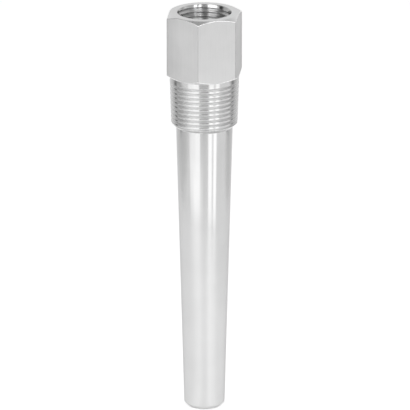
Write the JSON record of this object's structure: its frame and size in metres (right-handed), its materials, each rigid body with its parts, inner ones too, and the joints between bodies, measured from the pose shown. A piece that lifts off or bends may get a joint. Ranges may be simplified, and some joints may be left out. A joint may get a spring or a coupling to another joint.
{
  "type": "thermowell",
  "caption": "One-piece screwed thermowell: hexagon head with a threaded socket, tapered pipe thread, tapered shank and a blind bore for a temperature probe.",
  "frame": {"origin": "centre of the tip's flat end face, on the well's axis", "axes": "+Z along the axis from the tip to the open socket; two corners of the hexagon lie on +X and -X, and two of its flats face +Y and -Y"},
  "size_m": [0.0312, 0.027, 0.1603],
  "materials": {
    "steel": "bright turned stainless steel, with fine turning marks on the shank and the thread and milled flats on the hexagon"
  },
  "bodies": {
    "root": {"thermowell": "steel"}
  },
  "joints": []
}
